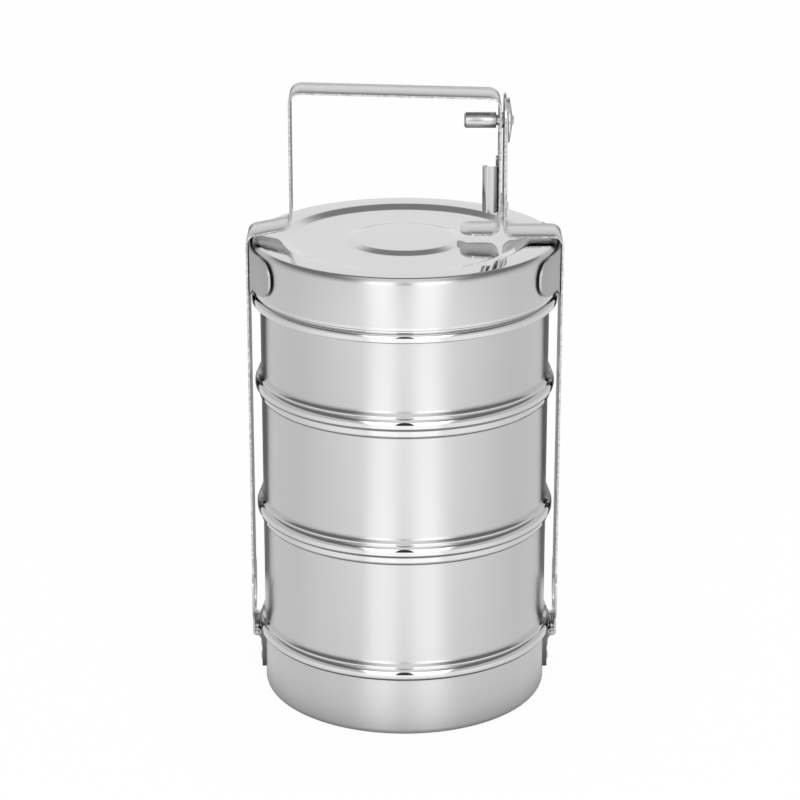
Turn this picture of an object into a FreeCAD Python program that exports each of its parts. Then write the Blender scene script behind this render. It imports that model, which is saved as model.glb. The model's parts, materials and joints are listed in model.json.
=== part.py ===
import FreeCAD, Part
import math
import os
import re
import Sketcher

# Tiffin carrier: four stacked steel bowls and a lid, held together by two bent
# strip frames hinged on the bottom bowl.  The left frame carries the handle,
# the right one a stud that passes through the handle and is held by a slide
# bolt.  Origin: centre of the bottom face.  +Z up, +X towards the stud side.

os.makedirs("parts", exist_ok=True)
doc = FreeCAD.newDocument("tiffin_carrier")
sheet = doc.addObject("Spreadsheet::Sheet", "Sizes")

DIMENSIONS = {
    # bowls
    "wall_radius": 75.0,
    "gauge": 0.7,
    "base_corner": 3.5,
    "bottom_pitch": 33.0,
    "tier_pitch": 68.2,
    "top_pitch": 46.3,
    "nest_depth": 6.0,
    "nest_gap": 0.4,
    "seat_height": 2.8,
    "bead_width": 3.2,
    "bead_height": 5.5,
    "bead_rounding": 2.0,
    "ridge_width": 1.7,
    "ridge_height": 1.5,
    "flare_height": 3.0,
    "flare_rounding": 4.0,
    "hem_width": 1.4,
    "hem_drop": 3.8,
    # lid
    "lid_height": 32.5,
    "lid_band": 4.2,
    "lid_skirt": 3.7,
    "lid_band_height": 4.3,
    "lid_groove": 1.2,
    "lid_groove_depth": 2.3,
    "lid_bend": 4.8,
    "lid_band_rounding": 2.2,
    "lid_skirt_rounding": 2.0,
    "lid_recess_radius": 57.2,
    "lid_recess": 1.8,
    "lid_plateau_radius": 25.5,
    "lid_plateau": 1.3,
    "lid_step": 6.4,
    # strip frames
    "strip_width": 25.0,
    "strip_gauge": 1.0,
    "saddle_gap": 0.6,
    "saddle_gauge": 1.0,
    "strap_gap": 2.1,
    "strap_rise": 4.6,
    "strap_bend": 4.6,
    "handle_left": 58.8,
    "handle_right": 48.8,
    "handle_fall": 2.8,
    "handle_bend": 5.5,
    "foot_length": 19.8,
    "foot_bend": 5.0,
    "foot_rounding": 8.0,
    "foot_gap": 5.3,
    "eye_rise": 12.9,
    "eye_height": 21.0,
    "eye_width": 34.0,
    "eye_slope": 5.0,
    "window_rise": 8.9,
    "window_height": 18.0,
    "window_width": 15.0,
    "window_rounding": 5.0,
    # hinges
    "hinge_drop": 2.0,
    "knuckle_radius": 2.1,
    "pin_radius": 1.25,
    "pin_play": 0.05,
    "pin_head_radius": 1.7,
    "pin_head": 0.8,
    "pin_head_gap": 0.2,
    "lug_width": 12.0,
    "lug_gauge": 2.0,
    "lug_length": 22.9,
    "lug_play": 0.3,
    "lug_slope": 7.5,
    "lug_bend": 3.0,
    "lug_rivet_rise": 4.0,
    "lug_rivet_pitch": 7.6,
    # saddles
    "saddle_drop": 2.1,
    "saddle_reach": 42.5,
    "saddle_tab": 5.4,
    "lobe_height": 20.2,
    "saddle_rivet_rise": 2.6,
    "saddle_rivet_pitch": 12.0,
    # rivets
    "rivet_radius": 1.5,
    "rivet_head_radius": 2.8,
    "rivet_head": 0.8,
    # catch
    "catch_gap": 1.5,
    "catch_rise": 13.9,
    "stud_rise": 19.8,
    "handle_rise": 16.9,
    "stud_radius": 4.05,
    "stud_tip": 30.2,
    "stud_chamfer": 0.8,
    "stud_neck_radius": 2.7,
    "stud_neck_play": 0.35,
    "stud_shank_radius": 2.3,
    "stud_head_radius": 3.0,
    "stud_head": 1.0,
    "stud_slot_play": 0.45,
    "stud_slot_below": 5.0,
    "stud_slot_above": 1.5,
    "washer_radius": 11.5,
    "washer_gauge": 0.8,
    "washer_dish": 1.2,
    "leaf_rise": 11.1,
    "leaf_width": 16.0,
    "leaf_gauge": 1.0,
    "leaf_rivet_rise": 4.0,
    # slide bolt
    "bolt_rise": 12.0,
    "bolt_length": 29.2,
    "bolt_width": 14.0,
    "bolt_gauge": 1.0,
    "bolt_gap": 0.1,
    "bolt_travel": 24.0,
    "fork_gap": 0.4,
    "thumb_drop": 3.6,
    "thumb_reach": 7.2,
    "thumb_front": 1.0,
    "thumb_curl": 3.4,
    "thumb_rounding": 2.6,
    "guide_rivet_rise": 3.2,
    "guide_rivet_pitch": 5.0,
    "guide_play": 0.1,
    "guide_washer": 0.7,
}
for row, (alias, size) in enumerate(DIMENSIONS.items(), 1):
    sheet.set(f"A{row}", alias)
    sheet.set(f"B{row}", str(size))
    sheet.setAlias(f"B{row}", alias)
doc.recompute()


def bound(text):
    """The expression with every size read from the sheet."""
    def named(word):
        return "Sizes." + word[0] if word[0] in DIMENSIONS else word[0]

    return re.sub(r"[a-z_]+", named, text)


def number(text):
    """The present value of an expression."""
    return float(sheet.evalExpression(bound(text)))


# ---------------------------------------------------------------- derived sizes
STRIP_IN = "(wall_radius + lid_skirt + saddle_gap + saddle_gauge)"
STRIP_MID = f"({STRIP_IN} + strip_gauge / 2)"
STRIP_OUT = f"({STRIP_IN} + strip_gauge)"
HINGE_X = f"({STRIP_OUT} - knuckle_radius)"
BORE = "(pin_radius + pin_play)"
LOWER_Z = "bottom_pitch"
MIDDLE_Z = "(bottom_pitch + tier_pitch)"
TOP_Z = "(bottom_pitch + 2 * tier_pitch)"
LID_Z = "(bottom_pitch + 2 * tier_pitch + top_pitch)"
LID_TOP = f"({LID_Z} + lid_height)"
LID_SEAT = "(lid_band_height - gauge)"
SADDLE_TOP = f"({LID_TOP} - saddle_drop)"
LOBE_LOW = f"({SADDLE_TOP} - lobe_height)"
SADDLE_RIVETS = [
    f"{LOBE_LOW} + saddle_rivet_rise",
    f"{LOBE_LOW} + saddle_rivet_rise + saddle_rivet_pitch",
]
HINGE_Z = "(bottom_pitch - hinge_drop)"
LUG_LOW = f"({HINGE_Z} - lug_length)"
LUG_RIVETS = [f"{LUG_LOW} + lug_rivet_rise", f"{LUG_LOW} + lug_rivet_rise + lug_rivet_pitch"]
BOLT_LOW = f"({LID_TOP} + bolt_rise)"
BOLT_TOP = f"({BOLT_LOW} + bolt_length)"
GUIDES = [f"{BOLT_LOW} + guide_rivet_rise", f"{BOLT_LOW} + guide_rivet_rise + guide_rivet_pitch"]
STUD_Z = f"({BOLT_TOP} + stud_rise)"
HANDLE_TOP = f"({STUD_Z} + handle_rise)"
CATCH_TOP = f"({STUD_Z} + catch_rise)"
LEAF_TOP = f"({STUD_Z} + leaf_rise)"
LEAF_RIVET = f"({BOLT_LOW} + leaf_rivet_rise)"
STRAP_MID = f"({LID_TOP} + strap_gap + strip_gauge / 2)"
FOOT_MID = f"({LID_TOP} - lid_recess + foot_gap + strip_gauge / 2)"
CATCH_IN = "(handle_right + catch_gap)"
CATCH_OUT = f"({CATCH_IN} + strip_gauge)"
LEAF_OUT = f"({CATCH_OUT} + leaf_gauge)"
LEG_IN = "(handle_right - strip_gauge)"
BOLT_OUT = f"({LEG_IN} - bolt_gap)"
BOLT_IN = f"({BOLT_OUT} - bolt_gauge)"


# ---------------------------------------------------------------- drawing helpers
def placed(sketch, body, role, lift):
    """Attaches a sketch to an origin plane of its body, raised by a bound amount."""
    plane = [face for face in body.Origin.OriginFeatures if face.Role == role][0]
    sketch.AttachmentSupport = [(plane, "")]
    sketch.MapMode = "FlatFace"
    if lift is not None:
        sketch.setExpression("AttachmentOffset.Base.z", bound(lift))


def pin_down(sketch, geometry, point, across, up):
    """Ties one point of a sketch to the sheet."""
    for kind, text in (("DistanceX", across), ("DistanceY", up)):
        here = sketch.addConstraint(Sketcher.Constraint(kind, -1, 1, geometry, point, number(text)))
        sketch.renameConstraint(here, f"{kind}{here}")
        sketch.setExpression(f"Constraints.{kind}{here}", bound(text))


def set_radius(sketch, geometry, text):
    here = sketch.addConstraint(Sketcher.Constraint("Radius", geometry, number(text)))
    sketch.renameConstraint(here, f"Radius{here}")
    sketch.setExpression(f"Constraints.Radius{here}", bound(text))


def draw(body, name, role, corners, lift=None, closed=True):
    """A sketch through corners (across, up, rounding), all bound to the sheet."""
    sketch = body.newObject("Sketcher::SketchObject", name)
    placed(sketch, body, role, lift)
    return trace(sketch, corners, closed)


def trace(sketch, corners, closed=True):
    """Adds one outline to a sketch: straight runs, with tangent arcs where a rounding is given."""
    count = len(corners)
    spots = [FreeCAD.Vector(number(c[0]), number(c[1]), 0) for c in corners]
    begins, ends, arcs = list(spots), list(spots), {}
    for i, corner in enumerate(corners):
        if len(corner) < 3:
            continue
        radius = number(corner[2])
        back = (spots[i - 1] - spots[i]).normalize()
        ahead = (spots[(i + 1) % count] - spots[i]).normalize()
        half = back.getAngle(ahead) / 2
        ends[i] = spots[i] + back * (radius / math.tan(half))
        begins[i] = spots[i] + ahead * (radius / math.tan(half))
        middle = spots[i] + (back + ahead).normalize() * (radius / math.sin(half))
        turn = (back * -1).cross(ahead).z
        first, last = (ends[i], begins[i]) if turn > 0 else (begins[i], ends[i])
        start = math.atan2(first.y - middle.y, first.x - middle.x)
        stop = math.atan2(last.y - middle.y, last.x - middle.x)
        if stop < start:
            stop += 2 * math.pi
        circle = Part.Circle(middle, FreeCAD.Vector(0, 0, 1), radius)
        arcs[i] = (sketch.addGeometry(Part.ArcOfCircle(circle, start, stop)), turn > 0)
    runs = {}
    for i in range(count if closed else count - 1):
        after = (i + 1) % count
        runs[i] = sketch.addGeometry(Part.LineSegment(begins[i], ends[after]))
    for i, corner in enumerate(corners):
        inward = runs.get((i - 1) % count)
        outward = runs.get(i)
        if i in arcs:
            arc, leftward = arcs[i]
            near, far = (1, 2) if leftward else (2, 1)
            sketch.addConstraint(Sketcher.Constraint("Tangent", inward, 2, arc, near))
            sketch.addConstraint(Sketcher.Constraint("Tangent", arc, far, outward, 1))
            set_radius(sketch, arc, corner[2])
            spot = sketch.addGeometry(Part.Point(spots[i]), True)
            pin_down(sketch, spot, 1, corner[0], corner[1])
            sketch.addConstraint(Sketcher.Constraint("PointOnObject", spot, 1, inward))
            sketch.addConstraint(Sketcher.Constraint("PointOnObject", spot, 1, outward))
        elif not closed and i == 0:
            pin_down(sketch, outward, 1, corner[0], corner[1])
        elif not closed and i == count - 1:
            pin_down(sketch, inward, 2, corner[0], corner[1])
        else:
            sketch.addConstraint(Sketcher.Constraint("Coincident", inward, 2, outward, 1))
            pin_down(sketch, outward, 1, corner[0], corner[1])
    return sketch


def circles(body, name, role, rounds, lift=None):
    """A sketch of circles (across, up, radius)."""
    sketch = body.newObject("Sketcher::SketchObject", name)
    placed(sketch, body, role, lift)
    for across, up, radius in rounds:
        centre = FreeCAD.Vector(number(across), number(up), 0)
        ring = sketch.addGeometry(Part.Circle(centre, FreeCAD.Vector(0, 0, 1), number(radius)))
        pin_down(sketch, ring, 3, across, up)
        set_radius(sketch, ring, radius)
    return sketch


def box_corners(left, right, low, high, rounding=None):
    """Four corners of an upright rectangle, rounded where asked."""
    tail = () if rounding is None else (rounding,)
    return [(left, low) + tail, (right, low) + tail, (right, high) + tail, (left, high) + tail]


def new_body(label):
    body = doc.addObject("PartDesign::Body", label + "_body")
    body.Label = label
    return body


def revolve(body, sketch, axis="V_Axis"):
    turned = body.newObject("PartDesign::Revolution", sketch.Name + "_turned")
    turned.Profile = sketch
    turned.ReferenceAxis = (sketch, [axis])
    turned.Angle = 360
    return turned


def pad(body, sketch, length, midplane=False, reverse=False):
    block = body.newObject("PartDesign::Pad", sketch.Name + "_pad")
    block.Profile = sketch
    block.setExpression("Length", bound(length))
    block.SideType = "Symmetric" if midplane else "One side"
    block.Reversed = reverse
    return block


def pocket(body, sketch, length, midplane=False, reverse=False):
    """Cuts a sketch's outline out of the body, and makes sure that it took something away."""
    doc.recompute()
    before = body.Shape.Volume
    hollow = body.newObject("PartDesign::Pocket", sketch.Name + "_cut")
    hollow.Profile = sketch
    hollow.setExpression("Length", bound(length))
    hollow.SideType = "Symmetric" if midplane else "One side"
    hollow.Reversed = reverse
    doc.recompute()
    if body.Shape.Volume > before - 1e-3:
        raise ValueError(sketch.Name + " cuts nothing")
    return hollow


def rivet_holes(body, label, heights):
    """Holes for rivets along X, one above the other."""
    rounds = [("0", height, "rivet_radius") for height in heights]
    holes = circles(body, label + "_holes", "YZ_Plane", rounds)
    pocket(body, holes, "4 * wall_radius", midplane=True)


# ---------------------------------------------------------------- bowls and lid
def hem(rim, foot):
    """The folded edge round a rim: outer corners from its lower edge to the rim's top."""
    outer = "wall_radius + hem_width"
    return [
        ("wall_radius", f"{foot} - 0.6 * hem_width"),
        (outer, foot, "hem_width / 2"),
        (outer, rim, "hem_width / 3"),
    ]


def stacking_bowl(label, height, rim, hem_foot):
    """A bowl whose foot nests in the bowl below, with a bead that caps that bowl's rim."""
    nest = "wall_radius - gauge - nest_gap"
    bead = "wall_radius + bead_width"
    pocket_side = "wall_radius + bead_width - 2 * gauge"
    ridge = "wall_radius + ridge_width"
    valley = "wall_radius + ridge_width - gauge"
    ridge_foot = "bead_height + 0.2 * ridge_height"
    ridge_peak = "bead_height + 0.6 * ridge_height + 0.3 * gauge"
    ridge_head = "bead_height + ridge_height + 0.6 * gauge"
    flare = "bead_height + ridge_height + 0.6 * gauge + flare_height"
    step = "seat_height + gauge"
    corners = [
        ("0", "-nest_depth"),
        (nest, "-nest_depth", "base_corner"),
        (nest, "seat_height"),
        (pocket_side, "seat_height"),
        (pocket_side, "0"),
        (bead, "0"),
        (bead, "bead_height", "bead_rounding"),
        (valley, ridge_foot),
        (ridge, ridge_peak),
        (valley, ridge_head),
        ("wall_radius", flare, "flare_rounding"),
        *hem(rim, hem_foot),
        ("wall_radius - gauge", rim),
        ("wall_radius - gauge", flare, "flare_rounding + gauge"),
        (f"{valley} - gauge", ridge_head),
        (f"{valley} - gauge", ridge_foot + " - 0.4 * gauge"),
        (f"{bead} - gauge", "bead_height - gauge", "bead_rounding - gauge"),
        (f"{bead} - gauge", step),
        (f"{nest} - gauge", step),
        (f"{nest} - gauge", "gauge - nest_depth", "base_corner - gauge"),
        ("0", "gauge - nest_depth"),
    ]
    body = new_body(label)
    revolve(body, draw(body, label + "_profile", "XZ_Plane", corners))
    body.setExpression("Placement.Base.z", bound(height))
    return body


def bottom_bowl():
    """The lowest bowl: a flat base, a straight wall and plain rim, drilled for the lug rivets."""
    rim = "bottom_pitch + seat_height"
    corners = [
        ("0", "0"),
        ("wall_radius", "0", "base_corner"),
        ("wall_radius", rim),
        ("wall_radius - gauge", rim),
        ("wall_radius - gauge", "gauge", "base_corner - gauge"),
        ("0", "gauge"),
    ]
    body = new_body("bottom_bowl")
    revolve(body, draw(body, "bottom_bowl_profile", "XZ_Plane", corners))
    rivet_holes(body, "bottom_bowl", LUG_RIVETS)
    return body


def lid():
    """The cover: a band that caps the top bowl, a groove that rests on its rim, and a recessed top."""
    band = "wall_radius + lid_band"
    skirt = "wall_radius + lid_skirt"
    neck = "wall_radius + lid_skirt - lid_groove_depth"
    band_top = "lid_band_height"
    groove_top = "lid_band_height + lid_groove"
    top = "lid_height"
    floor = "lid_height - lid_recess"
    plateau = "lid_height - lid_recess + lid_plateau"
    corners = [
        (band, "0"),
        (band, band_top, "lid_band_rounding"),
        (neck, band_top),
        (neck, groove_top),
        (skirt, groove_top, "lid_skirt_rounding"),
        (skirt, top, "lid_bend"),
        ("lid_recess_radius + lid_step", top),
        ("lid_recess_radius", floor),
        ("lid_plateau_radius + lid_step", floor),
        ("lid_plateau_radius", plateau),
        ("0", plateau),
        ("0", plateau + " - gauge"),
        ("lid_plateau_radius", plateau + " - gauge"),
        ("lid_plateau_radius + lid_step", floor + " - gauge"),
        ("lid_recess_radius + gauge / 2", floor + " - gauge"),
        ("lid_recess_radius + lid_step + gauge / 2", top + " - gauge"),
        (f"{skirt} - gauge", top + " - gauge", "lid_bend - gauge"),
        (f"{skirt} - gauge", groove_top + " + gauge", "lid_skirt_rounding - gauge"),
        (f"{neck} - gauge", groove_top + " + gauge"),
        (f"{neck} - gauge", band_top + " - gauge"),
        (f"{band} - gauge", band_top + " - gauge", "lid_band_rounding - gauge"),
        (f"{band} - gauge", "0"),
    ]
    body = new_body("lid")
    revolve(body, draw(body, "lid_profile", "XZ_Plane", corners))
    body.setExpression("Placement.Base.z", bound(LID_Z))
    return body


# ---------------------------------------------------------------- strip frames
def strip(body, label, sign, path):
    """The bent strip itself: a flat section carried along the path of its middle line."""
    spine = draw(body, label + "_path", "XZ_Plane", path, closed=False)
    edge = "strip_width / 2"
    near, far = (f"{sign} * {STRIP_IN}", f"{sign} * {STRIP_OUT}")
    section = draw(
        body, label + "_section", "XY_Plane", box_corners(near, far, "-" + edge, edge), HINGE_Z
    )
    doc.recompute()
    swept = body.newObject("PartDesign::AdditivePipe", label + "_strip")
    swept.Profile = section
    swept.Spine = spine
    swept.Mode = "Standard"
    return swept


def lower_end(body, label, sign):
    """The broad eye with its window, and the two knuckles that turn on the hinge pin."""
    inner = f"{sign} * {STRIP_IN}"
    half = "eye_width / 2"
    side = "strip_width / 2"
    low = f"({HINGE_Z} + eye_rise)"
    high = f"({HINGE_Z} + eye_rise + eye_height)"
    eye = [
        ("-" + side, f"{low} - eye_slope"),
        (side, f"{low} - eye_slope"),
        (half, low, "eye_slope"),
        (half, f"{high} - eye_slope", "eye_slope"),
        (side, high),
        ("-" + side, high),
        ("-" + half, f"{high} - eye_slope", "eye_slope"),
        ("-" + half, low, "eye_slope"),
    ]
    outline = draw(body, label + "_eye", "YZ_Plane", eye, inner)
    pad(body, outline, "strip_gauge", reverse=sign < 0)
    hinge = f"{sign} * {HINGE_X}"
    knuckle = circles(body, label + "_knuckle", "XZ_Plane", [(hinge, HINGE_Z, "knuckle_radius")])
    pad(body, knuckle, "strip_width", midplane=True)
    gap = "lug_width / 2 + lug_play"
    mouth_low = f"{HINGE_Z} - knuckle_radius - lug_play"
    mouth_high = f"{HINGE_Z} + knuckle_radius + lug_play"
    mouth = box_corners(f"-({gap})", gap, mouth_low, mouth_high)
    pocket(body, draw(body, label + "_mouth", "YZ_Plane", mouth), "4 * wall_radius", midplane=True)
    bore = circles(body, label + "_bore", "XZ_Plane", [(hinge, HINGE_Z, BORE)])
    pocket(body, bore, "2 * strip_width", midplane=True)
    sill = f"{HINGE_Z} + window_rise"
    window = box_corners(
        "-window_width / 2", "window_width / 2", sill, f"{sill} + window_height", "window_rounding"
    )
    pocket(body, draw(body, label + "_window", "YZ_Plane", window), "4 * wall_radius", midplane=True)
    rivet_holes(body, label, SADDLE_RIVETS)


def handle_frame():
    """The left frame: side strip, strap over the lid, handle and its foot, in one bent strip."""
    body = new_body("handle_frame")
    left = "handle_left - strip_gauge / 2"
    leg = "handle_right - strip_gauge / 2"
    path = [
        (f"-{STRIP_MID}", HINGE_Z),
        (f"-{STRIP_MID}", STRAP_MID, "strap_bend"),
        (f"-({left})", f"{STRAP_MID} + strap_rise", "strap_bend"),
        (f"-({left})", f"{HANDLE_TOP} - strip_gauge / 2", "handle_bend"),
        (leg, f"{HANDLE_TOP} - strip_gauge / 2 - handle_fall", "handle_bend"),
        (leg, FOOT_MID, "foot_bend"),
        (f"{leg} - foot_length", FOOT_MID),
    ]
    strip(body, "handle", -1, path)
    lower_end(body, "handle", -1)
    slot_side = "stud_radius + stud_slot_play"
    slot_low = f"{STUD_Z} - ({slot_side}) - stud_slot_below"
    slot_high = f"{STUD_Z} + {slot_side} + stud_slot_above"
    slot = box_corners(f"-({slot_side})", slot_side, slot_low, slot_high, "stud_radius")
    guide_side = "rivet_radius + guide_play"
    guide_low = f"{GUIDES[0]} - ({guide_side})"
    guide_high = f"{GUIDES[1]} + bolt_travel + {guide_side}"
    guide = box_corners(f"-({guide_side})", guide_side, guide_low, guide_high, "rivet_radius")
    cuts = draw(body, "handle_slots", "YZ_Plane", slot, "handle_right + strip_gauge")
    trace(cuts, guide)
    pocket(body, cuts, "3 * strip_gauge")
    tip = f"{leg} - foot_length"
    inside = f"{tip} + foot_rounding + strip_gauge"
    side = "strip_width / 2"
    beyond = "(strip_width / 2 + strip_gauge)"
    waste = [
        (f"{tip} - strip_gauge", "-" + beyond),
        (inside, "-" + beyond),
        (inside, "-" + side),
        (tip, "-" + side, "foot_rounding"),
        (tip, side, "foot_rounding"),
        (inside, side),
        (inside, beyond),
        (f"{tip} - strip_gauge", beyond),
    ]
    corners = draw(body, "handle_foot_end", "XY_Plane", waste, f"{FOOT_MID} + strip_gauge")
    pocket(body, corners, "2 * strip_gauge")
    return body


def catch_frame():
    """The right frame: side strip, strap and an upright with a rounded head behind the handle."""
    body = new_body("catch_frame")
    upright = f"{CATCH_IN} + strip_gauge / 2"
    path = [
        (STRIP_MID, HINGE_Z),
        (STRIP_MID, STRAP_MID, "strap_bend"),
        (upright, STRAP_MID, "foot_bend"),
        (upright, f"{CATCH_TOP} - strip_width / 2"),
    ]
    strip(body, "catch", 1, path)
    crown = ("0", f"{CATCH_TOP} - strip_width / 2", "strip_width / 2")
    head = circles(body, "catch_head", "YZ_Plane", [crown], CATCH_IN)
    pad(body, head, "strip_gauge")
    lower_end(body, "catch", 1)
    holes = [("0", STUD_Z, "stud_shank_radius"), ("0", LEAF_RIVET, "rivet_radius")]
    cuts = circles(body, "catch_holes", "YZ_Plane", holes, f"{CATCH_OUT} + strip_gauge")
    pocket(body, cuts, "3 * strip_gauge")
    return body


def saddle(label, sign):
    """A curved plate riveted inside the side strip, with a rounded lobe each way, that hugs the lid."""
    body = new_body(label)
    side = "strip_width / 2"
    rounding = "0.46 * lobe_height"
    outline = [
        ("-saddle_reach", LOBE_LOW, rounding),
        (f"-{side} - {rounding}", LOBE_LOW),
        (f"-{side}", f"{LOBE_LOW} - saddle_tab", "rivet_radius"),
        (side, f"{LOBE_LOW} - saddle_tab", "rivet_radius"),
        (f"{side} + {rounding}", LOBE_LOW),
        ("saddle_reach", LOBE_LOW, rounding),
        ("saddle_reach", SADDLE_TOP, rounding),
        ("-saddle_reach", SADDLE_TOP, rounding),
    ]
    plate = draw(body, label + "_outline", "YZ_Plane", outline)
    pad(body, plate, STRIP_OUT, reverse=sign < 0)
    far = "2 * wall_radius"
    rings = circles(body, label + "_inside", "XY_Plane", [("0", "0", f"{STRIP_IN} - saddle_gauge")])
    pocket(body, rings, "12 * wall_radius", midplane=True)
    shell = circles(body, label + "_outside", "XY_Plane", [("0", "0", STRIP_IN), ("0", "0", far)])
    pocket(body, shell, "12 * wall_radius", midplane=True)
    rivet_holes(body, label, SADDLE_RIVETS)
    return body


# ---------------------------------------------------------------- hinges
def part_object(kind, name, **bindings):
    """A Part primitive whose properties are all bound to the sheet."""
    thing = doc.addObject(kind, name)
    for key, text in bindings.items():
        thing.setExpression(key, bound(text))
    return thing


def stand(thing, across, along, up, axis=None):
    """Places a primitive, turned so that its own Z lies along the axis given."""
    if axis is not None:
        turn = FreeCAD.Rotation(FreeCAD.Vector(0, 0, 1), FreeCAD.Vector(*axis))
        thing.Placement = FreeCAD.Placement(FreeCAD.Vector(), turn)
    for letter, text in zip("xyz", (across, along, up)):
        thing.setExpression("Placement.Base." + letter, bound(text))
    return thing


def combined(kind, name, things):
    whole = doc.addObject(kind, name)
    if kind == "Part::MultiFuse":
        whole.Shapes = things
    elif kind == "Part::Compound":
        whole.Links = things
    else:
        whole.Base, whole.Tool = things
    return whole


def lug(label, sign):
    """A plate on the bowl's wall that slopes outwards at its top to the middle knuckle."""
    body = new_body(label + "_plate")
    inner = f"{sign} * (wall_radius - lug_gauge)"
    outer = f"{sign} * (wall_radius + lug_gauge)"
    knee = f"{HINGE_Z} - lug_slope"
    shape = [
        (inner, LUG_LOW),
        (outer, LUG_LOW),
        (outer, knee, "lug_bend"),
        (f"{sign} * ({HINGE_X} + 0.7 * knuckle_radius)", f"{HINGE_Z} - 0.7 * knuckle_radius"),
        (f"{sign} * {HINGE_X}", HINGE_Z),
        (f"{sign} * ({HINGE_X} - 0.7 * knuckle_radius)", f"{HINGE_Z} - 0.3 * knuckle_radius"),
        (inner, f"{HINGE_Z} - knuckle_radius - lug_gauge"),
    ]
    pad(body, draw(body, label + "_shape", "XZ_Plane", shape), "lug_width", midplane=True)
    wall = part_object("Part::Cylinder", label + "_wall", Radius="wall_radius", Height="2 * lug_length")
    plate = combined("Part::Cut", label + "_bent", (body, stand(wall, "0", "0", f"{LUG_LOW} - lug_gauge")))
    knuckle = part_object("Part::Cylinder", label + "_knuckle", Radius="knuckle_radius", Height="lug_width")
    stand(knuckle, f"{sign} * {HINGE_X}", "lug_width / 2", HINGE_Z, (0, -1, 0))
    blank = combined("Part::MultiFuse", label + "_blank", [plate, knuckle])
    bore = part_object("Part::Cylinder", label + "_bore", Radius="pin_radius", Height="2 * lug_width")
    stand(bore, f"{sign} * {HINGE_X}", "lug_width", HINGE_Z, (0, -1, 0))
    drilled = combined("Part::Cut", label + "_drilled", (blank, bore))
    tools = []
    for index, rise in enumerate(LUG_RIVETS):
        hole = part_object(
            "Part::Cylinder", f"{label}_hole{index}", Radius="rivet_radius", Height="wall_radius"
        )
        tools.append(stand(hole, f"{sign} * wall_radius / 2", "0", rise, (sign, 0, 0)))
    holes = combined("Part::Compound", label + "_holes", tools)
    whole = combined("Part::Cut", label, (drilled, holes))
    whole.Label = label
    return whole


def rivets(label, sign, near, far, heights, inner_head):
    """Rivets along X from near to far, domed outside and, where asked, also inside."""
    solids = []
    for index, rise in enumerate(heights):
        name = f"{label}_{index}"
        shank = part_object(
            "Part::Cylinder", name + "_shank", Radius="rivet_radius", Height=f"{far} - {near}"
        )
        pieces = [stand(shank, f"{sign} * {near}", "0", rise, (sign, 0, 0))]
        crown = "0.6 * rivet_head_radius"
        sizes = {"Radius1": "rivet_head_radius", "Radius2": crown, "Height": "rivet_head"}
        outside = part_object("Part::Cone", name + "_outside", **sizes)
        pieces.append(stand(outside, f"{sign} * {far}", "0", rise, (sign, 0, 0)))
        if inner_head:
            inside = part_object("Part::Cone", name + "_inside", **sizes)
            pieces.append(stand(inside, f"{sign} * {near}", "0", rise, (-sign, 0, 0)))
        solids.append(combined("Part::MultiFuse", name, pieces))
    whole = combined("Part::Compound", label, solids)
    whole.Label = label
    return whole


def hinge_pin(label, sign):
    """The pin through the three knuckles, peened over at both ends."""
    body = new_body(label)
    end = "strip_width / 2 + pin_head_gap"
    corners = [
        ("0", f"-({end} + pin_head)"),
        ("0.6 * pin_head_radius", f"-({end} + pin_head)"),
        ("pin_head_radius", f"-({end})"),
        ("pin_radius", f"-({end})"),
        ("pin_radius", end),
        ("pin_head_radius", end),
        ("0.6 * pin_head_radius", f"{end} + pin_head"),
        ("0", f"{end} + pin_head"),
    ]
    revolve(body, draw(body, label + "_profile", "XY_Plane", corners))
    body.setExpression("Placement.Base.x", bound(f"{sign} * {HINGE_X}"))
    body.setExpression("Placement.Base.z", bound(HINGE_Z))
    return body


# ---------------------------------------------------------------- catch
def locking_stud():
    """The stud: chamfered tip, body with a neck for the bolt's fork, shank peened over the washer."""
    body = new_body("locking_stud")
    head_in = f"({LEAF_OUT} + washer_gauge + washer_dish)"
    corners = [
        ("stud_tip", "0"),
        ("stud_tip", "stud_radius - stud_chamfer"),
        ("stud_tip + stud_chamfer", "stud_radius"),
        (f"{BOLT_IN} - stud_neck_play", "stud_radius"),
        (f"{BOLT_IN} - stud_neck_play", "stud_neck_radius"),
        (f"{LEG_IN} + stud_neck_play", "stud_neck_radius"),
        (f"{LEG_IN} + stud_neck_play", "stud_radius"),
        (CATCH_IN, "stud_radius"),
        (CATCH_IN, "stud_shank_radius"),
        (head_in, "stud_shank_radius"),
        (head_in, "stud_head_radius"),
        (f"{head_in} + stud_head", "0.6 * stud_head_radius"),
        (f"{head_in} + stud_head", "0"),
    ]
    revolve(body, draw(body, "stud_profile", "XZ_Plane", corners), "H_Axis")
    body.setExpression("Placement.Base.z", bound(STUD_Z))
    return body


def stud_washer():
    """The dished washer between the backing leaf and the stud's peened head."""
    body = new_body("stud_washer")
    near = LEAF_OUT
    peak = f"({LEAF_OUT} + washer_dish)"
    corners = [
        (near, "washer_radius"),
        (peak, "1.5 * stud_head_radius"),
        (peak, "stud_shank_radius"),
        (f"{peak} + washer_gauge", "stud_shank_radius"),
        (f"{peak} + washer_gauge", "1.5 * stud_head_radius"),
        (f"{near} + washer_gauge", "washer_radius"),
    ]
    revolve(body, draw(body, "washer_profile", "XZ_Plane", corners), "H_Axis")
    body.setExpression("Placement.Base.z", bound(STUD_Z))
    return body


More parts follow.
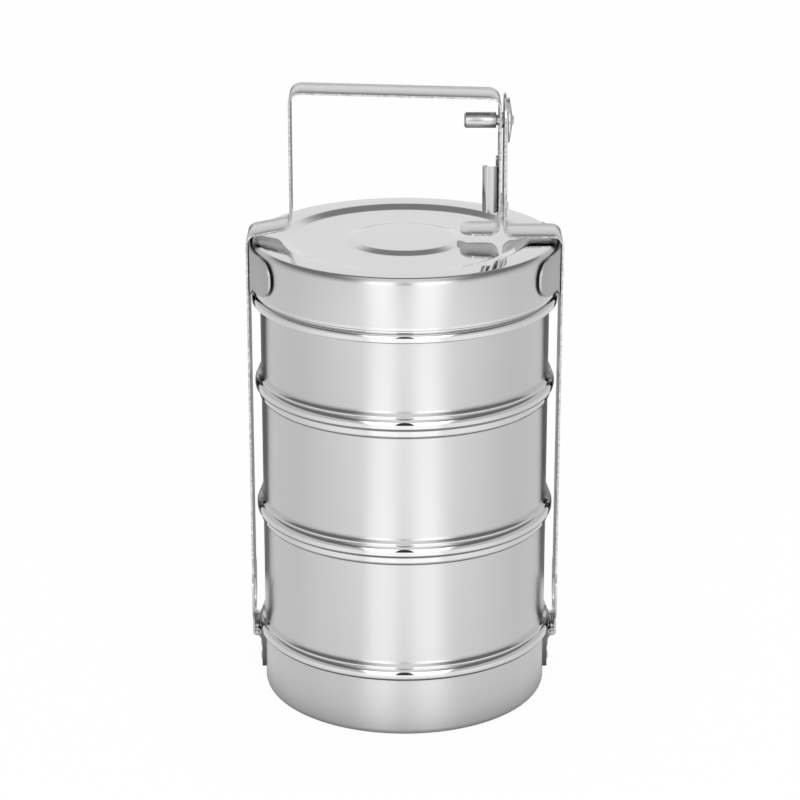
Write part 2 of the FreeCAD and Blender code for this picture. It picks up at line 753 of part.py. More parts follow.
def backing_leaf():
    """The stiffening leaf riveted along the outside of the upright."""
    body = new_body("backing_leaf")
    half = "leaf_width / 2"
    outline = [
        ("-" + half, BOLT_LOW),
        (half, BOLT_LOW),
        (half, LEAF_TOP, "0.9 * leaf_width / 2"),
        ("-" + half, LEAF_TOP, "0.9 * leaf_width / 2"),
    ]
    pad(body, draw(body, "leaf_outline", "YZ_Plane", outline, CATCH_OUT), "leaf_gauge")
    holes = [("0", STUD_Z, "stud_shank_radius"), ("0", LEAF_RIVET, "rivet_radius")]
    pocket(body, circles(body, "leaf_holes", "YZ_Plane", holes), "4 * wall_radius", midplane=True)
    return body


def slide_bolt():
    """The bolt on the handle's inner face: a forked plate with a curled thumb grip at its front."""
    body = new_body("slide_bolt")
    half = "bolt_width / 2"
    notch = "stud_neck_radius + fork_gap"
    notch_floor = f"{STUD_Z} - ({notch}) - bolt_travel"
    tip = f"({half} - ({notch})) / 2"
    outline = [
        ("-" + half, BOLT_LOW),
        (half, BOLT_LOW),
        (half, BOLT_TOP, tip),
        (notch, BOLT_TOP, f"0.9 * {tip}"),
        (notch, notch_floor, f"0.9 * ({notch})"),
        (f"-({notch})", notch_floor, f"0.9 * ({notch})"),
        (f"-({notch})", BOLT_TOP, f"0.9 * {tip}"),
        ("-" + half, BOLT_TOP, tip),
    ]
    pad(body, draw(body, "bolt_outline", "YZ_Plane", outline, BOLT_IN), "bolt_gauge")
    front = f"-({half} + thumb_front)"
    tail = f"-({half} + thumb_front - thumb_curl)"
    free = f"({BOLT_IN} - thumb_reach)"
    curl = [
        (BOLT_OUT, f"-({half} - bolt_gauge)"),
        (BOLT_OUT, front, "1.2 * bolt_gauge"),
        (free, front, "thumb_rounding"),
        (free, tail),
        (f"{free} + bolt_gauge", tail),
        (f"{free} + bolt_gauge", f"{front} + bolt_gauge", "thumb_rounding - bolt_gauge"),
        (BOLT_IN, f"{front} + bolt_gauge"),
        (BOLT_IN, f"-({half} - bolt_gauge)"),
    ]
    pad(body, draw(body, "thumb_outline", "XY_Plane", curl, BOLT_LOW), "bolt_length - thumb_drop")
    rivet_holes(body, "bolt", GUIDES)
    return body


def bolt_rivets():
    """The two guide rivets that hold the bolt to the handle and run in its long slot."""
    solids = []
    for index, rise in enumerate(GUIDES):
        name = f"guide_rivet_{index}"
        shank = part_object(
            "Part::Cylinder", name + "_shank", Radius="rivet_radius",
            Height=f"handle_right + guide_play - {BOLT_IN}"
        )
        pieces = [stand(shank, BOLT_IN, "0", rise, (1, 0, 0))]
        outside = part_object(
            "Part::Cylinder", name + "_head", Radius="0.9 * rivet_head_radius", Height="guide_washer"
        )
        pieces.append(stand(outside, "handle_right + guide_play", "0", rise, (1, 0, 0)))
        inside = part_object(
            "Part::Cone", name + "_tail", Radius1="0.8 * rivet_head_radius",
            Radius2="0.5 * rivet_head_radius", Height="rivet_head"
        )
        pieces.append(stand(inside, BOLT_IN, "0", rise, (-1, 0, 0)))
        solids.append(combined("Part::MultiFuse", name, pieces))
    whole = combined("Part::Compound", "bolt_rivets", solids)
    whole.Label = "bolt_rivets"
    return whole


TIER_RIM = "tier_pitch + seat_height"
TOP_RIM = f"top_pitch + {LID_SEAT}"
LUG_NEAR = "(wall_radius - gauge)"
LUG_FAR = "(wall_radius + lug_gauge)"
SADDLE_IN = f"({STRIP_IN} - saddle_gauge)"

subparts = [
    bottom_bowl(),
    stacking_bowl("lower_bowl", LOWER_Z, TIER_RIM, "tier_pitch - hem_drop"),
    stacking_bowl("middle_bowl", MIDDLE_Z, TIER_RIM, "tier_pitch - hem_drop"),
    stacking_bowl("top_bowl", TOP_Z, TOP_RIM, f"{TOP_RIM} - hem_drop"),
    lid(),
    handle_frame(),
    catch_frame(),
    locking_stud(),
    stud_washer(),
    backing_leaf(),
    rivets("leaf_rivet", 1, CATCH_IN, LEAF_OUT, [LEAF_RIVET], False),
    slide_bolt(),
    bolt_rivets(),
]
for name, sign in (("left", -1), ("right", 1)):
    subparts.append(lug(name + "_lug", sign))
    subparts.append(rivets(name + "_lug_rivets", sign, LUG_NEAR, LUG_FAR, LUG_RIVETS, True))
    subparts.append(hinge_pin(name + "_hinge_pin", sign))
    subparts.append(saddle(name + "_saddle", sign))
    subparts.append(rivets(name + "_saddle_rivets", sign, SADDLE_IN, STRIP_OUT, SADDLE_RIVETS, False))

doc.recompute()
for thing in doc.Objects:
    if "Invalid" in thing.State or "Error" in thing.State:
        raise ValueError(f"{thing.Label} did not recompute: {thing.State}")
for piece in subparts:
    if piece.Shape.isNull() or not piece.Shape.isValid():
        raise ValueError(piece.Label + " has no valid shape")
for piece in subparts:
    piece.Shape.exportStep(f"parts/{piece.Label}.step")
    print(piece.Label, len(piece.Shape.Solids), round(piece.Shape.Volume, 1))
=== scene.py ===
import json
import math

import bpy
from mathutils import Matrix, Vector

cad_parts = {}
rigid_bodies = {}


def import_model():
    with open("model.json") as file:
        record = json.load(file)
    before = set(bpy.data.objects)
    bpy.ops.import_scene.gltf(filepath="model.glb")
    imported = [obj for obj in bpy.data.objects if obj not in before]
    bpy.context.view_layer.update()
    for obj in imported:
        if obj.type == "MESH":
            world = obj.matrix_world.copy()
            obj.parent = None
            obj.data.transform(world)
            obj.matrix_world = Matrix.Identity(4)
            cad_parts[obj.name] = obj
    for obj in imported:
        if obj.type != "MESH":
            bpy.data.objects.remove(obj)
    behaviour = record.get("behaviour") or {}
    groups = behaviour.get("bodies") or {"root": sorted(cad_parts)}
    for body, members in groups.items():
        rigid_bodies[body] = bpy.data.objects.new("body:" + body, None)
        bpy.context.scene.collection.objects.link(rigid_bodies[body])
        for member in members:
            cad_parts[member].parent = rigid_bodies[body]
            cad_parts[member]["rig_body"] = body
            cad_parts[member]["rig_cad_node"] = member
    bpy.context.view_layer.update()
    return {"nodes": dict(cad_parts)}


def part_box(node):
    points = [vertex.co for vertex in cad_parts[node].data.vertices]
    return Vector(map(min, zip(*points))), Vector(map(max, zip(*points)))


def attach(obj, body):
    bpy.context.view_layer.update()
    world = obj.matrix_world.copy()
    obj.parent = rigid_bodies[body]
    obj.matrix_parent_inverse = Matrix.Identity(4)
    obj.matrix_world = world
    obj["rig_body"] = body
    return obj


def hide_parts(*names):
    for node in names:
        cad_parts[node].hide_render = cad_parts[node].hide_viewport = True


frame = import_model()
MM = 0.001

# ------------------------------------------------------------------ bottom bowl
# The lowest bowl: stainless sheet drawn and spun into a shallow pan with a
# rounded base edge and a straight wall, left a little duller than the rest.
GAUGE = 0.7 * MM
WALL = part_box("bottom_bowl")[1].x
BASE_CORNER = 3.5 * MM
ROUND_STEPS = 256


class Value:
    """One socket in a node tree, on which sums are written as ordinary maths."""

    def __init__(self, tree, socket):
        self.tree = tree
        self.socket = socket

    def sum(self, operation, *terms):
        return self.tree.node("ShaderNodeMath", {"operation": operation}, *terms)

    def __add__(self, other):
        return self.sum("ADD", self, other)

    def __mul__(self, other):
        return self.sum("MULTIPLY", self, other)

    def __sub__(self, other):
        return self.sum("SUBTRACT", self, other)

    def __rsub__(self, other):
        return self.sum("SUBTRACT", other, self)

    __radd__ = __add__
    __rmul__ = __mul__

    def above(self, edge, softness):
        """0 below the edge, 1 above it, with a soft step between."""
        settings = {"interpolation_type": "SMOOTHSTEP"}
        inputs = {"Value": self, "From Min": edge - softness, "From Max": edge + softness}
        return self.tree.node("ShaderNodeMapRange", settings, **inputs)

    def other(self, name):
        """Another output of the same node."""
        return Value(self.tree, self.socket.node.outputs[name])


class Wiring:
    """The nodes of one material or of the world behind it."""

    def __init__(self, owner):
        owner.use_nodes = True
        self.nodes = owner.node_tree.nodes
        self.links = owner.node_tree.links

    def node(self, kind, settings, *places, output=0, **named):
        """Adds a node: its settings first, then the values or links of its sockets."""
        made = self.nodes.new(kind)
        for key, setting in settings.items():
            setattr(made, key, setting)
        for socket, value in list(enumerate(places)) + list(named.items()):
            self.feed(made.inputs[socket], value)
        return Value(self, made.outputs[output])

    def feed(self, socket, value):
        if isinstance(value, Value):
            self.links.new(value.socket, socket)
        else:
            socket.default_value = value


class Finish(Wiring):
    """A finish: a Principled surface, steel unless told otherwise."""

    def __init__(self, name, **constants):
        self.material = bpy.data.materials.new(name)
        super().__init__(self.material)
        self.surface_node = self.nodes["Principled BSDF"]
        self.surface(**{"Metallic": 1.0, **constants})
        self.place = self.node("ShaderNodeTexCoord", {}, output="Object")

    def surface(self, **inputs):
        for key, value in inputs.items():
            self.feed(self.surface_node.inputs[key.replace("_", " ")], value)

    def radius(self):
        """Distance from the carrier's own axis."""
        flat = self.node("ShaderNodeVectorMath", {"operation": "MULTIPLY"}, self.place, (1, 1, 0))
        return self.node("ShaderNodeVectorMath", {"operation": "LENGTH"}, flat, output="Value")

    def height(self):
        return self.node("ShaderNodeSeparateXYZ", {}, self.place, output="Z")

    def grain(self, stretch, detail=3.0):
        """Fine noise, finest along the directions with a large stretch."""
        drawn = self.node("ShaderNodeMapping", {"vector_type": "POINT"}, self.place, Scale=stretch)
        noise = {"Vector": drawn, "Scale": 1.0, "Detail": detail}
        return self.node("ShaderNodeTexNoise", {}, output="Fac", **noise)

    def tint(self, dark, light, mask):
        """A grey between two, by a mask."""
        greys = [(grey, grey, grey, 1) for grey in (dark, light)]
        made = self.node("ShaderNodeMix", {"data_type": "RGBA"}, output=2)
        for socket, value in zip((0, 6, 7), (mask, *greys)):
            self.feed(made.socket.node.inputs[socket], value)
        return made

    def relief(self, height, strength, distance):
        bump = {"Height": height, "Strength": strength, "Distance": distance}
        self.surface(Normal=self.node("ShaderNodeBump", {}, **bump))

    def on(self, piece):
        piece.data.materials.clear()
        piece.data.materials.append(self.material)


def pick(piece, wanted, mode="VERT"):
    """In edit mode, selects only the points for which wanted(place) is true."""
    bpy.ops.object.mode_set(mode="EDIT")
    bpy.ops.mesh.select_mode(type=mode)
    bpy.ops.mesh.select_all(action="DESELECT")
    bpy.ops.object.mode_set(mode="OBJECT")
    for point in piece.data.vertices:
        point.select = bool(wanted(point.co))
    bpy.ops.object.mode_set(mode="EDIT")


def drawn_line(name, corners, closed=False):
    """A wire in the XZ plane through corners (across, up, rounding), pulled out point by point."""
    bpy.ops.object.select_all(action="DESELECT")
    spots = [Vector((corner[0], 0, corner[1])) for corner in corners]
    bpy.ops.mesh.primitive_plane_add(size=MM, location=spots[0])
    line = bpy.context.object
    line.name = name
    bpy.ops.object.transform_apply(location=True)
    bpy.ops.object.mode_set(mode="EDIT")
    bpy.ops.mesh.select_all(action="SELECT")
    bpy.ops.mesh.merge(type="CENTER")
    for here, there in zip(spots, spots[1:]):
        step = {"value": there - here, "orient_type": "GLOBAL"}
        bpy.ops.mesh.extrude_region_move(TRANSFORM_OT_translate=step)
    if closed:
        pick(line, lambda co: min((co - spots[0]).length, (co - spots[-1]).length) < 0.01 * MM)
        bpy.ops.mesh.edge_face_add()
    count = len(corners)
    for i, corner in enumerate(corners):
        if len(corner) < 3:
            continue
        back = (spots[i - 1] - spots[i]).angle(spots[(i + 1) % count] - spots[i])
        pick(line, lambda co: (co - spots[i]).length < 0.01 * MM)
        reach = corner[2] / math.tan(back / 2)
        parts = 3 + int(4 * (math.pi - back))
        bpy.ops.mesh.bevel(offset=reach, segments=parts, affect="VERTICES")
    bpy.ops.object.mode_set(mode="OBJECT")
    return line


def finish_mesh(piece, smooth=30):
    """Merges doubles, turns every face outwards and shades the curves smooth."""
    bpy.ops.object.mode_set(mode="EDIT")
    bpy.ops.mesh.select_all(action="SELECT")
    bpy.ops.mesh.remove_doubles(threshold=0.002 * MM)
    bpy.ops.mesh.normals_make_consistent(inside=False)
    bpy.ops.object.mode_set(mode="OBJECT")
    bpy.ops.object.shade_smooth_by_angle(angle=math.radians(smooth))
    return piece


def spun(name, corners, closed=False):
    """A round piece: its section is drawn once and spun about the carrier's axis."""
    piece = drawn_line(name, corners, closed)
    bpy.ops.object.mode_set(mode="EDIT")
    bpy.ops.mesh.select_all(action="SELECT")
    bpy.ops.mesh.spin(steps=ROUND_STEPS, angle=2 * math.pi, center=(0, 0, 0), axis=(0, 0, 1))
    return finish_mesh(piece)


pan_finish = Finish("dull spun steel", Anisotropic=0.8, Anisotropic_Rotation=0.25)
rings = pan_finish.grain((18, 18, 2600), detail=4.0)
streaks = pan_finish.grain((90, 90, 3))
clouds = pan_finish.grain((30, 30, 30))
pan_finish.surface(
    Base_Color=pan_finish.tint(0.63, 0.75, rings * 0.35 + streaks * 0.35 + clouds * 0.3),
    Roughness=0.36 + rings * 0.06 + clouds * 0.06,
)
pan_finish.relief(rings, 0.05, 0.02 * MM)

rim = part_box("bottom_bowl")[1].z
bottom = spun(
    "bottom_bowl_shell",
    [
        (0, 0),
        (WALL, 0, BASE_CORNER),
        (WALL, rim, 0.3 * MM),
        (WALL - GAUGE, rim, 0.3 * MM),
        (WALL - GAUGE, GAUGE, BASE_CORNER - GAUGE),
        (0, GAUGE),
    ],
)
pan_finish.on(bottom)
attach(bottom, "root")
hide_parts("bottom_bowl")

# ------------------------------------------------------------------ stacking bowls
# Three bowls spun from sheet. Each has a foot that nests in the bowl below, a
# bead whose skirt caps that bowl's rim, and a folded hem round its own rim.
NEST_GAP = 0.4 * MM
NEST_DEPTH = 6.0 * MM
SEAT = 2.8 * MM
BEAD = 3.2 * MM
HEM = 1.4 * MM
HEM_DROP = 3.8 * MM

bowl_finish = Finish("satin spun steel", Anisotropic=0.8, Anisotropic_Rotation=0.25)
level = bowl_finish.height()
# Heights and half widths of the painted shade lines under the beads and hems.
lines = [(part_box("top_bowl")[1].z - HEM_DROP - 0.9 * MM, 0.5 * MM)]
for node in ("lower_bowl", "middle_bowl", "top_bowl"):
    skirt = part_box(node)[0].z + NEST_DEPTH
    lines += [(skirt - 0.1 * MM, 0.95 * MM), (skirt - HEM_DROP - 1.0 * MM, 0.55 * MM)]
# Painted shade: grey lines of painted shadow darken the base colour in the creases under each bead
# and hem.
crease_shade = sum(
    level.above(z - half, 0.2 * MM) * (1 - level.above(z + half, 0.2 * MM))
    for z, half in lines
)
beads = bowl_finish.radius().above(WALL + 0.5 * MM, 0.15 * MM)
rings = bowl_finish.grain((18, 18, 2600), detail=4.0)
streaks = bowl_finish.grain((110, 110, 3))
clouds = bowl_finish.grain((30, 30, 30))
marks = rings * 0.2 + streaks * 0.3 + clouds * 0.2 + beads * 0.3
# The base colour carries the painted crease shade as well as the grain.
bowl_finish.surface(
    Base_Color=bowl_finish.tint(0.1, 0.7, 0.84 + marks * 0.16 - crease_shade * 0.75),
    Roughness=0.3 + rings * 0.05 + clouds * 0.04 - beads * 0.28,
)
bowl_finish.relief(rings * (1 - beads), 0.04, 0.02 * MM)


def stacking_bowl(node, body, hem_foot):
    low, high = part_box(node)
    foot = low.z
    skirt = foot + NEST_DEPTH
    rim = high.z
    nest = WALL - GAUGE - NEST_GAP
    bead = WALL + BEAD
    lip = skirt - 0.5 * MM
    flare = skirt + 4.2 * MM
    throat = skirt + 8.6 * MM
    hem_lip = hem_foot - 1.2 * MM
    bowl = spun(
        node + "_shell",
        [
            (0, foot),
            (nest, foot, BASE_CORNER),
            (nest, skirt + SEAT),
            (bead - 2 * GAUGE, skirt + SEAT),
            (bead - 2 * GAUGE, lip),
            (bead - 0.8 * MM, lip, 0.4 * MM),
            (bead, skirt + 0.8 * MM, 1.6 * MM),
            (bead, flare, 3.3 * MM),
            (WALL + 1.3 * MM, skirt + 5.5 * MM, 0.2 * MM),
            (WALL + 1.75 * MM, skirt + 6.2 * MM, 0.3 * MM),
            (WALL + 1.7 * MM, skirt + 6.8 * MM, 0.3 * MM),
            (WALL + 1.2 * MM, skirt + 7.3 * MM, 0.2 * MM),
            (WALL, throat, 2.4 * MM),
            (WALL, hem_lip, 0.2 * MM),
            (WALL + 0.3 * MM, hem_lip, 0.2 * MM),
            (WALL + HEM, hem_foot + 0.3 * MM, 1.0 * MM),
            (WALL + HEM, rim, 0.5 * MM),
            (WALL - GAUGE, rim, 0.3 * MM),
            (WALL - GAUGE, throat, 3.1 * MM),
            (WALL + 0.45 * MM, skirt + 7.2 * MM),
            (WALL + 0.5 * MM, skirt + 5.3 * MM),
            (bead - GAUGE, skirt + 3.9 * MM, 1.0 * MM),
            (bead - GAUGE, skirt + SEAT + GAUGE),
            (nest - GAUGE, skirt + SEAT + GAUGE, 0.3 * MM),
            (nest - GAUGE, foot + GAUGE, BASE_CORNER - GAUGE),
            (0, foot + GAUGE),
        ],
    )
    bowl_finish.on(bowl)
    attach(bowl, body)
    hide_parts(node)


for node, body, above in (
    ("lower_bowl", "lower", "middle_bowl"),
    ("middle_bowl", "middle", "top_bowl"),
):
    stacking_bowl(node, body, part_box(above)[0].z + NEST_DEPTH - HEM_DROP)
stacking_bowl("top_bowl", "top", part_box("top_bowl")[1].z - HEM_DROP)

# ------------------------------------------------------------------ lid
# A deep lid spun from sheet: a band that caps the top bowl, a groove that sits
# on its rim, a tall skirt, and a polished top with a recess and a raised disc.
LID_BAND = 4.3 * MM
GROOVE = 1.2 * MM
ROLL = 3.4 * MM
RECESS_EDGE = 63.8 * MM
RECESS_FOOT = 57.2 * MM
DISC_FOOT = 31.5 * MM
DISC_EDGE = 25.5 * MM
EASED = 9.0 * MM
low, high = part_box("lid")
band = high.x
skirt = band - 0.5 * MM
neck = skirt - 2.3 * MM
shelf = low.z + LID_BAND + GROOVE
top = high.z
recess = top - 1.8 * MM
disc = recess + 1.3 * MM
lid = spun(
    "lid_shell",
    [
        (band - GAUGE, low.z, 0.2 * MM),
        (band, low.z, 0.3 * MM),
        (band, low.z + LID_BAND, 2.2 * MM),
        (neck, low.z + LID_BAND, 0.2 * MM),
        (neck, shelf, 0.2 * MM),
        (skirt, shelf, 1.2 * MM),
        (skirt, top, ROLL),
        (RECESS_EDGE, top, EASED),
        (RECESS_FOOT, recess, EASED),
        (DISC_FOOT, recess, EASED),
        (DISC_EDGE, disc, EASED),
        (0, disc),
        (0, disc - GAUGE),
        (DISC_EDGE, disc - GAUGE),
        (DISC_FOOT, recess - GAUGE),
        (RECESS_FOOT, recess - GAUGE),
        (RECESS_EDGE, top - GAUGE),
        (skirt - GAUGE, top - GAUGE, ROLL - GAUGE),
        (skirt - GAUGE, shelf + GAUGE, 0.6 * MM),
        (neck - GAUGE, shelf + GAUGE),
        (neck - GAUGE, low.z + LID_BAND - GAUGE),
        (band - GAUGE, low.z + LID_BAND - GAUGE, 1.5 * MM),
    ],
    closed=True,
)
lid_finish = Finish("polished lid steel", Anisotropic=0.8, Anisotropic_Rotation=0.25)
skirt_height = lid_finish.height()
satin = skirt_height.above(shelf + 1.8 * MM, 0.4 * MM)
satin = satin * (1 - skirt_height.above(top - 0.6 * MM, 0.25 * MM))
satin = satin * lid_finish.radius().above(neck - 1 * MM, 0.2 * MM)
lines = lid_finish.grain((18, 18, 2600), detail=4.0)
streaks = lid_finish.grain((110, 110, 3))
clouds = lid_finish.grain((25, 25, 25))
wear = 0.6 - lines * 0.2 - streaks * 0.2 - clouds * 0.1
lid_finish.surface(
    Base_Color=lid_finish.tint(0.6, 0.7, 0.9 - satin * wear),
    Roughness=0.05 + clouds * 0.02 + satin * (0.24 + lines * 0.05),
)
lid_finish.relief(lines * satin, 0.04, 0.02 * MM)
lid_finish.on(lid)
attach(lid, "cover")
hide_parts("lid")


# ------------------------------------------------------------------ frames and saddles
# Each frame is one bent strip of 25 by 1 mm stainless with sheared edges; the
# saddles are curved plates riveted inside the strips, and hug the lid.
def softened(node, name, edge, smooth=32):
    """A copy of a sheet-metal piece with its cut edges broken, which stands for it."""
    bpy.ops.object.select_all(action="DESELECT")
    source = frame["nodes"][node]
    bpy.context.view_layer.objects.active = source
    source.select_set(True)
    bpy.ops.object.duplicate()
    piece = bpy.context.object
    piece.name = name
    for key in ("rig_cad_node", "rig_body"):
        if key in piece:
            del piece[key]
    piece.parent = None
    bpy.ops.object.mode_set(mode="EDIT")
    bpy.ops.mesh.select_all(action="SELECT")
    bpy.ops.mesh.remove_doubles(threshold=0.002 * MM)
    bpy.ops.mesh.customdata_custom_splitnormals_clear()
    bpy.ops.mesh.dissolve_limited(angle_limit=math.radians(0.5))
    bpy.ops.object.mode_set(mode="OBJECT")
    broken = piece.modifiers.new("broken edges", "BEVEL")
    broken.width = edge
    broken.segments = 2
    broken.limit_method = "ANGLE"
    broken.angle_limit = math.radians(40)
    bpy.ops.object.modifier_apply(modifier=broken.name)
    bpy.ops.object.shade_smooth_by_angle(angle=math.radians(smooth))
    return piece


CUT_EDGE = 12.35 * MM
EYE_TOP = 68 * MM
GRIP_TOP = 323 * MM
strip_finish = Finish("rolled strip steel", Anisotropic=0.2)
mottle = strip_finish.grain((240, 240, 240), detail=6.0)
across_strip = strip_finish.node("ShaderNodeSeparateXYZ", {}, strip_finish.place, output="Y")
sheared = across_strip.sum("ABSOLUTE", across_strip).above(CUT_EDGE, 0.1 * MM)
sheared = sheared * across_strip.other("Z").above(EYE_TOP, 2 * MM)
torn = strip_finish.grain((700, 700, 700), detail=4.0).above(0.5, 0.2)
# Painted shade: above GRIP_TOP the frames are darkened on their front half, standing in for the
# shade on the bend at the grip's front.
painted_front_shade = across_strip.other("Z").above(GRIP_TOP, 1 * MM) * (1 - across_strip.above(-6 * MM, 6 * MM))
patches = mottle * 0.42 * (1 - sheared) + (torn - 0.45) * 0.7 * sheared
# The base colour carries the painted front shade, away from the sheared edges.
strip_finish.surface(
    Base_Color=strip_finish.tint(0.3, 0.72, 0.52 + patches - painted_front_shade * (1 - sheared) * 0.4),
    Roughness=0.12 + mottle * 0.14 + sheared * 0.2,
)
strip_finish.relief(mottle + torn * sheared, 0.1, 0.1 * MM)

plate_finish = Finish("rolled plate steel", Anisotropic=0.2)
haze = plate_finish.grain((90, 90, 90), detail=5.0)
plate_finish.surface(
    Base_Color=plate_finish.tint(0.42, 0.5, haze),
    Roughness=0.3 + haze * 0.12,
)

# Painted shade: the lugs are painted dark all over, standing in for the shade on their sides, with
# noise through it.
shade_painted_lug_finish = Finish("plate steel painted with shade", Roughness=0.3)
lug_noise = shade_painted_lug_finish.grain((160, 160, 160), detail=5.0)
shade_painted_lug_finish.surface(Base_Color=shade_painted_lug_finish.tint(0.14, 0.3, lug_noise))

rod_finish = Finish("turned rod steel", Anisotropic=0.3)
tool_marks = rod_finish.grain((500, 120, 120), detail=3.0)
rod_finish.surface(
    Base_Color=rod_finish.tint(0.5, 0.62, tool_marks),
    Roughness=0.22 + tool_marks * 0.1,
)

# The saddles are pressed outwards against their strips.
SADDLE_SHIFT = 0.5 * MM
for node, body, finish, slot, edge in (
    ("handle_frame", "handle", strip_finish, "frame_steel", 0.22),
    ("catch_frame", "catch", strip_finish, "frame_steel", 0.22),
    ("left_saddle", "handle", plate_finish, "plate_steel", 0.2),
    ("right_saddle", "catch", plate_finish, "plate_steel", 0.2),
    ("left_lug", "root", shade_painted_lug_finish, "plate_steel", 0.2),
    ("right_lug", "root", shade_painted_lug_finish, "plate_steel", 0.2),
    ("backing_leaf", "catch", strip_finish, "frame_steel", 0.2),
    ("stud_washer", "catch", strip_finish, "pin_steel", 0.15),
    ("locking_stud", "catch", rod_finish, "pin_steel", 0.15),
):
    piece = softened(node, node + "_part", edge * MM)
    if "saddle" in node:
        bpy.ops.object.mode_set(mode="EDIT")
        bpy.ops.mesh.select_all(action="SELECT")
        outward = -SADDLE_SHIFT if "left" in node else SADDLE_SHIFT
        bpy.ops.transform.translate(value=(outward, 0, 0))
        bpy.ops.object.mode_set(mode="OBJECT")
    finish.on(piece)
    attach(piece, body)
    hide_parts(node)

# ------------------------------------------------------------------ slide bolt
# A forked plate that runs up the inside of the handle's leg. Its front edge is
# rolled into a thumb grip, an open tube bent from the same sheet as the plate.
SHEET = 0.9 * MM
GRIP_DEPTH = 3.4 * MM
GRIP_LAP = 2.4 * MM
GRIP_FOOT = 2.2 * MM
GRIP_LENGTH = 24.3 * MM
plate = softened("slide_bolt", "slide_bolt_part", 0.15 * MM)
low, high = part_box("slide_bolt")
fold = low.y + 2.5 * MM
pick(plate, lambda co: co.y < fold or co.x < high.x - 1.1 * MM)
bpy.ops.mesh.delete(type="VERT")
bpy.ops.object.mode_set(mode="OBJECT")
back = low.y + GRIP_DEPTH
grip = drawn_line(
    "thumb_grip",
    [
        (high.x, back),
        (high.x, low.y, 3.3 * MM),
        (low.x, low.y, 2.7 * MM),
        (low.x, back, 0.6 * MM),
        (low.x + GRIP_LAP, back, 0.2 * MM),
        (low.x + GRIP_LAP, back - SHEET, 0.2 * MM),
        (low.x + SHEET, back - SHEET, 0.3 * MM),
        (low.x + SHEET, low.y + SHEET, 1.35 * MM),
        (high.x - SHEET, low.y + SHEET, 2.4 * MM),
        (high.x - SHEET, back),
    ],
    closed=True,
)
grip.rotation_euler.x = math.radians(-90)
bpy.ops.object.transform_apply(rotation=True)
bpy.ops.object.mode_set(mode="EDIT")
bpy.ops.mesh.select_all(action="SELECT")
bpy.ops.mesh.edge_face_add()
bpy.ops.transform.translate(value=(0, 0, low.z + GRIP_FOOT))
bpy.ops.mesh.extrude_region_move(TRANSFORM_OT_translate={"value": (0, 0, GRIP_LENGTH)})
bpy.ops.object.mode_set(mode="OBJECT")
finish_mesh(grip, smooth=35)
plate.select_set(True)
bpy.context.view_layer.objects.active = plate
grip.select_set(True)
bpy.ops.object.join()
bolt_finish = Finish("drawn bolt steel", Anisotropic=0.3)
scratches = bolt_finish.grain((1400, 1400, 40), detail=3.0)
bolt_finish.surface(
    Base_Color=bolt_finish.tint(0.4, 0.56, scratches),
    Roughness=0.08 + scratches * 0.08,
)
bolt_finish.on(plate)
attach(plate, "bolt")
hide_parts("slide_bolt")

# ------------------------------------------------------------------ pins and rivets
# The hinge pins and the rivets are turned and peened rod; they keep the shapes
# of the solids and ride their own bodies.
for node in (
    "left_hinge_pin", "right_hinge_pin", "left_lug_rivets", "right_lug_rivets",
    "left_saddle_rivets", "right_saddle_rivets", "leaf_rivet", "bolt_rivets",
):
    rod_finish.on(frame["nodes"][node])

# ------------------------------------------------------------------ studio
# A plain white sweep to the camera, lit by one broad soft panel in front of the carrier;
# the room is darker overhead, and the camera stands before the panel's middle.
# In reflections the sweep shows a painted pool of light and a painted shadow round the carrier's
# foot.
world = bpy.data.worlds.new("studio")
bpy.context.scene.world = world
room = Wiring(world)
way = room.node("ShaderNodeTexCoord", {}, output="Generated")
across = room.node("ShaderNodeSeparateXYZ", {}, way, output="X")
front = (0 - across.other("Y")).above(0.1, 0.1)
up = across.other("Z")
width = across.sum("ABSOLUTE", across - 0.03)
panel = (1 - width.above(0.5, 0.06)) * up.above(0.03, 0.03)
panel = panel * (1 - up.above(0.66, 0.05)) * front
spread = across * across * 70 + up * up * 2
camera_spot = (1 - spread.above(1.0, 0.15)) * front
beside = across.sum("ABSOLUTE", across)
dark_band = up.above(0.5, 0.08) * (1 - up.above(0.92, 0.04))
dark_band = dark_band * (1 - front * (1 - beside.above(0.35, 0.15)))
room_light = (0.92 - 0.66 * dark_band) * (1 - 0.25 * beside.above(0.35, 0.25))
light = (room_light * (1 - panel) + 2.3 * panel) * (1 - 0.98 * camera_spot)
seen = room.node("ShaderNodeLightPath", {}, output="Is Camera Ray")
room.feed(room.nodes["Background"].inputs["Color"], (1, 1, 1, 1))
room.feed(room.nodes["Background"].inputs["Strength"], seen + (1 - seen) * light)

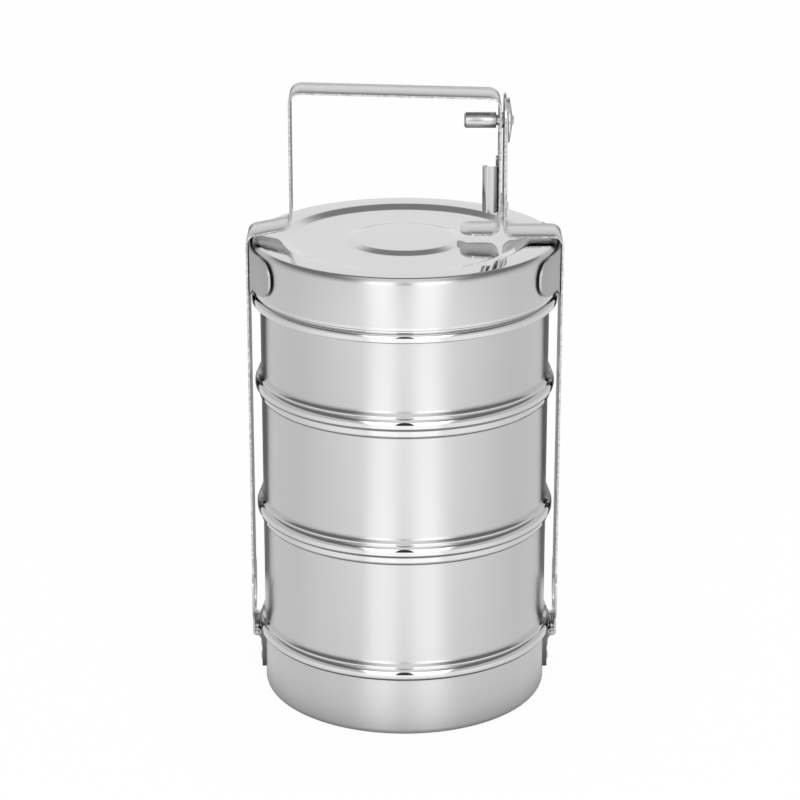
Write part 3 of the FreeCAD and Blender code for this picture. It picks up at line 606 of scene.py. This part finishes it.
bpy.ops.object.select_all(action="DESELECT")
bpy.ops.mesh.primitive_plane_add(size=8, location=(0, 0, -0.2 * MM))
floor = bpy.context.object
floor.name = "floor"
sweep = Finish("white sweep", Metallic=0.0, Roughness=0.8, Base_Color=(0.9, 0.9, 0.9, 1))
seen = sweep.node("ShaderNodeLightPath", {}, output="Is Camera Ray")
side = sweep.node("ShaderNodeSeparateXYZ", {}, sweep.place, output="X")
turn = side.sum("ABSOLUTE", side.sum("ARCTAN2", side, 0 - side.other("Y")))
around = sweep.radius()
# Painted light and shade, seen only in reflections: a painted pool of light on the floor in front
# of the carrier, a painted shadow close round its foot, and a darker floor behind it.
painted_light_pool = (1 - turn.above(0.44, 0.07)) * (0.7 + 0.3 * turn.above(0.09, 0.04))
painted_light_pool = 0.36 * painted_light_pool + 0.32 * (1 - turn.above(1.15, 0.5))
painted_floor_light_shade = 0.72 * around.above(0.085, 0.014) * (1 - 0.85 * turn.above(2.6, 0.15))
painted_floor_light_shade = 0.16 + painted_floor_light_shade + painted_light_pool * around.above(0.15, 0.06)
glossy = seen.other("Is Glossy Ray")
# The floor glows white to the camera and shows the painted light and shade to glossy rays.
glow = sweep.node("ShaderNodeEmission", {}, 1.02 * seen + glossy * painted_floor_light_shade, 1.0)
matt = Value(sweep, sweep.surface_node.outputs[0])
mixed = sweep.node("ShaderNodeMixShader", {}, 0.93 * seen + 0.85 * glossy, matt, glow)
sweep.feed(sweep.nodes["Material Output"].inputs["Surface"], mixed)
sweep.on(floor)

bpy.ops.object.light_add(type="AREA", location=(0, -0.2, 1.6))
lamp = bpy.context.object
lamp.name = "overhead lamp"
lamp.data.size = 1.4
lamp.data.energy = 6
lamp.visible_glossy = False

bpy.ops.object.camera_add(location=(-2.43 * MM, -1340.72 * MM, 627.03 * MM))
camera = bpy.context.object
camera.rotation_euler = (math.radians(90 - 19.259), 0, 0)
camera.data.lens = 121.5
camera.data.clip_start = 0.01
bpy.context.scene.camera = camera
bpy.context.scene.view_settings.view_transform = "Standard"
